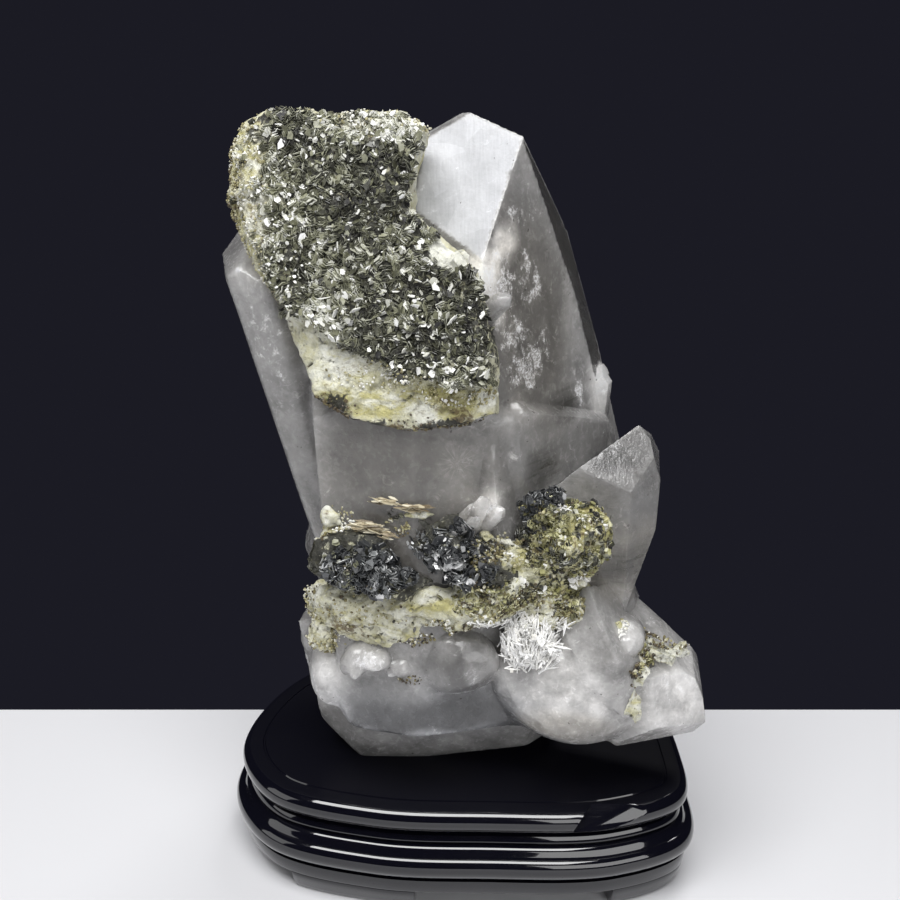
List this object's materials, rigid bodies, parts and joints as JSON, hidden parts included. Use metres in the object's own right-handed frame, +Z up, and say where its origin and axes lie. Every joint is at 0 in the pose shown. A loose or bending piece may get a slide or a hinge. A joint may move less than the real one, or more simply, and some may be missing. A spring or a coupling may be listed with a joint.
{
  "type": "mica included quartz cluster on stand",
  "caption": "Upright cluster of clear to milky quartz crystals with a feldspar and mica slab and belt, resting in a carved black lacquered wooden stand on bracket feet",
  "frame": {"origin": "middle of the bounding box in plan, on the plane of the four soles", "axes": "+Z up, -Y the display side with the mica slab, +X to the right as seen from there"},
  "size_m": [0.1568, 0.1068, 0.2501],
  "materials": {
    "quartz": "glassy, part milky",
    "feldspar": "rough",
    "mica": "glittering flakes",
    "gold_mica": "glittering flakes",
    "albite": "satin blades",
    "lacquer": "gloss black lacquer"
  },
  "bodies": {
    "root": {"quartz_cluster": "quartz", "upper_feldspar": "feldspar", "upper_mica": "mica", "lower_feldspar": "feldspar", "lower_mica_left": "mica", "lower_mica_middle": "mica", "lower_mica_right": "gold_mica", "corner_mica": "gold_mica", "albite_spray": "albite", "stand": "lacquer", "stand_foot_front_left": "lacquer", "stand_foot_front_right": "lacquer", "stand_foot_back_right": "lacquer", "stand_foot_back_left": "lacquer"}
  },
  "joints": []
}
